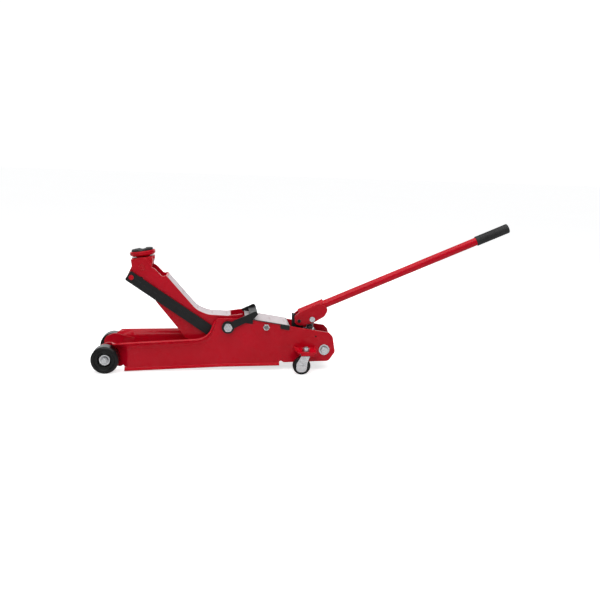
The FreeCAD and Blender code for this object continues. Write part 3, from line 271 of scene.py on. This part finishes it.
def ground_steel():
    n = Nodes("ground_steel")
    tone = n.mottle(n.noise(40.0, 3.0), (0.62, 0.63, 0.64), (0.74, 0.74, 0.75))
    n.colour(tone)
    n.roughness(n.noise(300.0, 3.0), 0.10, 0.2)
    n.put(Metallic=1.0)
    return n.material


def cast_housing():
    n = Nodes("cast_housing")
    tone = n.mottle(n.noise(25.0, 4.0), (0.008, 0.008, 0.009), (0.018, 0.018, 0.019))
    n.colour(tone)
    n.roughness(n.noise(80.0, 4.0), 0.5, 0.7)
    n.bump(n.noise(350.0, 5.0, 0.6), 0.5, 0.0008)
    return n.material


def label_print(n):
    """Mask of a label's faint printed bars, inside a plain margin."""
    place = n.tree.nodes.new("ShaderNodeSeparateXYZ")
    n.link(n.position, place.inputs["Vector"])
    margin = n.math("LESS_THAN", n.math("ABSOLUTE", place.outputs["Y"], 0.0), 0.021)
    along = n.math("FRACT", n.math("MULTIPLY", place.outputs["X"], 24.0), 0.0)
    bars = n.math("LESS_THAN", n.math("ABSOLUTE", n.math("SUBTRACT", along, 0.5), 0.0), 0.06)
    return n.math("MULTIPLY", n.math("MULTIPLY", margin, bars), 0.30)


def label_sheet():
    n = Nodes("label")
    tone = n.mottle(n.noise(6.0, 2.0), (0.56, 0.48, 0.50), (0.64, 0.56, 0.58))
    n.colour(n.mix(label_print(n), tone, (0.30, 0.12, 0.13)))
    n.roughness(n.noise(60.0, 3.0), 0.36, 0.48)
    n.put(IOR=1.46)
    n.bump(n.noise(200.0, 2.0), 0.04, 0.0004)
    return n.material


def cover_finish():
    """Pale sheet on the cover's top and rounded end, black paint on its tabs and underside."""
    n = Nodes("cover_finish")
    geometry = n.tree.nodes.new("ShaderNodeNewGeometry")
    facing = n.tree.nodes.new("ShaderNodeSeparateXYZ")
    n.link(geometry.outputs["Normal"], facing.inputs["Vector"])
    top = n.ramp(facing.outputs["Z"], (0.30, 0.0), (0.34, 1.0))
    pale = n.mottle(n.noise(7.0, 2.0), (0.36, 0.34, 0.35), (0.44, 0.42, 0.43))
    black = n.mottle(n.noise(14.0), *BLACK)
    n.colour(n.mix(top, black, pale))
    n.roughness(n.noise(60.0, 3.0), 0.34, 0.46)
    n.put(IOR=1.5, Specular_IOR_Level=0.35)
    n.bump(n.noise(300.0, 2.0), 0.08, 0.0004)
    return n.material


MATERIALS = {
    "red_paint": red_paint(), "black_paint": black_paint(), "black_nylon": black_nylon(),
    "black_rubber": black_rubber(), "zinc_steel": zinc_steel(), "plain_steel": plain_steel(),
    "ground_steel": ground_steel(), "cast_housing": cast_housing(), "label": label_sheet(),
}

# nodes whose finish differs from the rest of their slot
FINISH_OF_NODE = {"cover_plate": cover_finish(), "tie_rod": MATERIALS["plain_steel"]}
USUAL_EDGE_RADIUS = 0.0005  # metres
EDGE_RADIUS = {
    "lift_arm": 0.0009, "side_plate_left": 0.0007, "side_plate_right": 0.0007,
    "front_wheel_left": 0.0010, "front_wheel_right": 0.0010, "pump_block": 0.0012,
    "arm_label": 0.0001, "cover_label": 0.0001, "saddle_pad": 0.0012,
}


DOUBLED_VERTEX_GAP = 0.00002
FLAT_ANGLE = math.radians(0.4)
SHARP_ANGLE = math.radians(38)


def round_edges(piece, radius):
    """Real rounded edges: doubled vertices joined, flat areas made whole, then a small bevel."""
    weld = piece.modifiers.new("weld", "WELD")
    weld.merge_threshold = DOUBLED_VERTEX_GAP
    flat = piece.modifiers.new("flat", "DECIMATE")
    flat.decimate_type = "DISSOLVE"
    flat.angle_limit = FLAT_ANGLE
    bevel = piece.modifiers.new("bevel", "BEVEL")
    bevel.width = radius
    bevel.segments = 2
    bevel.limit_method = "ANGLE"
    bevel.angle_limit = SHARP_ANGLE
    weighted = piece.modifiers.new("normals", "WEIGHTED_NORMAL")
    weighted.mode = "FACE_AREA_WITH_ANGLE"
    piece.data.shade_smooth()


def dress_cad_nodes():
    """Each CAD node gets the procedural material of its slot, and slightly rounded edges."""
    for part in frame["record"]["subparts"]:
        node = nodes[part["node"]]
        node.data.materials.clear()
        finish = FINISH_OF_NODE.get(part["node"]) or MATERIALS[part["material_slot"]]
        node.data.materials.append(finish)
        round_edges(node, EDGE_RADIUS.get(part["node"], USUAL_EDGE_RADIUS))


dress_cad_nodes()


# ------------------------------------------------------------------ extra pieces
RNG = random.Random(7)
PLUNGER_WIRE = 0.0011       # wire radii and coil sizes in metres
PLUNGER_TURNS = 5.5
PLUNGER_CLOSED_TURNS = 0.8  # at each end
RETURN_WIRE = 0.0012
RETURN_COIL_RADIUS = 0.006
RETURN_PITCH = 2.15 * RETURN_WIRE
RETURN_REAR_HOOK = 0.013    # from the spring's end to its coils
RETURN_FRONT_HOOK = 0.008
BEAD_RADIUS = 0.0016
UNDER_BEAD_RADIUS = 0.0013
BEAD_STEP = 0.0006
BEAD_WANDER = 0.00012
BEAD_PROUD = 0.0006
PLATE_T = 0.004
KINGPIN_ABOVE_SHELF = 0.0125
UNDER_BEAD_DROP = 0.0055


def new_piece(name, points, faces, slot):
    """A mesh piece in the row frame that takes its finish from a slot."""
    mesh = bpy.data.meshes.new(name)
    mesh.from_pydata([tuple(p) for p in points], [], faces)
    mesh.shade_smooth()
    piece = bpy.data.objects.new(name, mesh)
    bpy.context.scene.collection.objects.link(piece)
    mesh.materials.append(MATERIALS[slot])
    return piece


def tube_mesh(path, radii, sides):
    """Points and faces of a closed round tube along a path, its radius given at each point."""
    points, faces = [], []
    count = len(path)
    normal = None
    for i, centre in enumerate(path):
        ahead = (path[min(i + 1, count - 1)] - path[max(i - 1, 0)]).normalized()
        if normal is None:
            normal = ahead.orthogonal().normalized()
        normal = (normal - ahead * normal.dot(ahead)).normalized()
        across = ahead.cross(normal)
        for k in range(sides):
            a = 2 * math.pi * k / sides
            points.append(centre + (normal * math.cos(a) + across * math.sin(a)) * radii[i])
    for i in range(count - 1):
        for k in range(sides):
            a, b = i * sides + k, i * sides + (k + 1) % sides
            faces.append((a, b, b + sides, a + sides))
    faces.append(tuple(range(sides))[::-1])
    faces.append(tuple((count - 1) * sides + k for k in range(sides)))
    return points, faces


def helix(centre, axis, radius, length, turns, closed_turns, steps):
    """Path of a coil that starts at centre and runs along axis, closed up at both ends."""
    axis = axis.normalized()
    side = axis.orthogonal().normalized()
    other = axis.cross(side)
    total = int(turns * steps)
    rise = [0.0]
    for i in range(total):
        turn = i / steps
        slow = turn < closed_turns or turn > turns - closed_turns
        rise.append(rise[-1] + (0.25 if slow else 1.0))
    path = []
    for i in range(total + 1):
        a = 2 * math.pi * i / steps
        along = length * rise[i] / rise[-1]
        path.append(centre + axis * along + (side * math.cos(a) + other * math.sin(a)) * radius)
    return path


def make_plunger_spring():
    low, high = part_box("plunger_spring")
    middle = (low + high) / 2
    radius = (high.x - low.x) / 2 - PLUNGER_WIRE
    start = Vector((middle.x, middle.y, low.z + PLUNGER_WIRE))
    length = high.z - low.z - 2 * PLUNGER_WIRE
    path = helix(start, Vector((0, 0, 1)), radius, length, PLUNGER_TURNS, PLUNGER_CLOSED_TURNS, 20)
    points, faces = tube_mesh(path, [PLUNGER_WIRE] * len(path), 8)
    spring = new_piece("plunger_coil", points, faces, "plain_steel")
    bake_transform(spring)
    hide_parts("plunger_spring")


def make_return_springs():
    """Long extension springs: hook, close coils, hook."""
    low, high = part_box("return_springs")
    height = (low.z + high.z) / 2
    rear, front = high.x - RETURN_REAR_HOOK, low.x + RETURN_FRONT_HOOK
    turns = (rear - front) / RETURN_PITCH
    radius = RETURN_COIL_RADIUS - RETURN_WIRE
    points, faces = [], []
    for side in (-1, 1):
        y = side * (high.y - RETURN_COIL_RADIUS)
        coil = helix(Vector((rear, y, height)), Vector((-1, 0, 0)), radius, rear - front, turns, 0.0, 10)
        tail = [Vector((high.x, y, height)), Vector((high.x - 0.007, y, height))]
        nose = [Vector((low.x + 0.004, y, height)), Vector((low.x, y, height))]
        path = tail + coil + nose
        first = len(points)
        more_points, more_faces = tube_mesh(path, [RETURN_WIRE] * len(path), 6)
        points += more_points
        faces += [tuple(first + k for k in face) for face in more_faces]
    spring = new_piece("return_coils", points, faces, "plain_steel")
    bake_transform(spring)
    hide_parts("return_springs")


def weld_bead(name, start, end, radius):
    """Bead of overlapping ripples on the chassis along a line, with a little wander."""
    start, end = Vector(start), Vector(end)
    path, radii = [], []
    steps = int((end - start).length / BEAD_STEP)
    for i in range(steps):
        wander = Vector((RNG.uniform(-1, 1), RNG.uniform(-1, 1), RNG.uniform(-1, 1))) * BEAD_WANDER
        path.append(start.lerp(end, i / steps) + wander)
        radii.append(radius * (0.86 + 0.14 * math.sin(i * 1.35)))
    radii[0] = radii[-1] = radius * 0.5
    points, faces = tube_mesh(path, radii, 10)
    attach(new_piece(name, points, faces, "red_paint"), "chassis")


def make_welds():
    """Beads above and below each caster shelf, where it meets the side plate."""
    plate_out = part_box("pump_block")[1].y + PLATE_T
    for side, name in ((-1, "left"), (1, "right")):
        low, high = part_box("caster_bracket_" + name)
        y = side * (plate_out + BEAD_PROUD)
        x0, x1 = low.x + 0.002, high.x - 0.002
        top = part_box("caster_kingpin_" + name)[1].z - KINGPIN_ABOVE_SHELF
        under = top - UNDER_BEAD_DROP
        weld_bead("bracket_weld_" + name, (x0, y, top), (x1, y, top), BEAD_RADIUS)
        weld_bead("bracket_underweld_" + name, (x0, y, under), (x1, y, under), UNDER_BEAD_RADIUS)


make_plunger_spring()
make_return_springs()
make_welds()


# ------------------------------------------------------------------ studio
FLOOR_REACH = 60.0
FLOOR_GLOW = 0.68           # only for the camera, so it lights nothing


def make_floor():
    """Pale floor that looks evenly white, with a faint soft shadow under the jack."""
    mesh = bpy.data.meshes.new("floor")
    corners = [(x * FLOOR_REACH, y * FLOOR_REACH, 0) for x, y in ((-1, -1), (1, -1), (1, 1), (-1, 1))]
    mesh.from_pydata(corners, [], [(0, 1, 2, 3)])
    floor = bpy.data.objects.new("floor", mesh)
    bpy.context.scene.collection.objects.link(floor)
    n = Nodes("floor")
    n.colour(n.mottle(n.noise(0.5), 0.78, 0.80))
    n.put(Roughness=0.95, Specular_IOR_Level=0.1)
    seen = n.tree.nodes.new("ShaderNodeLightPath").outputs["Is Camera Ray"]
    n.link(n.math("MULTIPLY", seen, FLOOR_GLOW), n.shader.inputs["Emission Strength"])
    n.put(Emission_Color=(1.0, 1.0, 1.0, 1.0))
    mesh.materials.append(n.material)


def new_light(kind, name, place, target):
    data = bpy.data.lights.new(name, kind)
    light = bpy.data.objects.new(name, data)
    bpy.context.scene.collection.objects.link(light)
    light.location = place
    light.rotation_euler = (Vector(target) - Vector(place)).to_track_quat("-Z", "Y").to_euler()
    return data


def softbox(name, place, target, size_x, size_y, radiance):
    data = new_light("AREA", name, place, target)
    data.shape = "RECTANGLE"
    data.size, data.size_y = size_x, size_y
    data.energy = radiance * math.pi * size_x * size_y


def make_world():
    """Dim cool sky for light and reflections, plain white to the camera."""
    world = bpy.data.worlds.new("studio")
    world.use_nodes = True
    tree = world.node_tree
    dim = tree.nodes["Background"]
    dim.inputs["Color"].default_value = (0.95, 0.97, 1.0, 1.0)
    dim.inputs["Strength"].default_value = 0.16
    white = tree.nodes.new("ShaderNodeBackground")
    white.inputs["Color"].default_value = (1.0, 1.0, 1.0, 1.0)
    white.inputs["Strength"].default_value = 1.05
    path = tree.nodes.new("ShaderNodeLightPath")
    mixed = tree.nodes.new("ShaderNodeMixShader")
    tree.links.new(path.outputs["Is Camera Ray"], mixed.inputs["Fac"])
    tree.links.new(dim.outputs["Background"], mixed.inputs[1])
    tree.links.new(white.outputs["Background"], mixed.inputs[2])
    tree.links.new(mixed.outputs["Shader"], tree.nodes["World Output"].inputs["Surface"])
    bpy.context.scene.world = world


def make_lights():
    """Overhead and front softboxes, a pale back wall and a soft sky."""
    softbox("overhead", (0.0, -0.3, 2.0), (0, 0.0, 0), 3.0, 1.7, 1.7)
    softbox("key", (-0.9, -2.7, 2.5), (0, 0, 0.15), 1.9, 1.2, 2.6)
    softbox("back_wall", (0, 2.6, 0.85), (0, 0, 0.5), 5.0, 1.4, 1.1)
    sky = new_light("SUN", "sky_light", (-0.5, -1.0, 4.0), (0, 0, 0))
    sky.energy = 0.8
    sky.angle = math.radians(90)


make_floor()
make_lights()
make_world()
bpy.context.scene.view_settings.view_transform = "Standard"
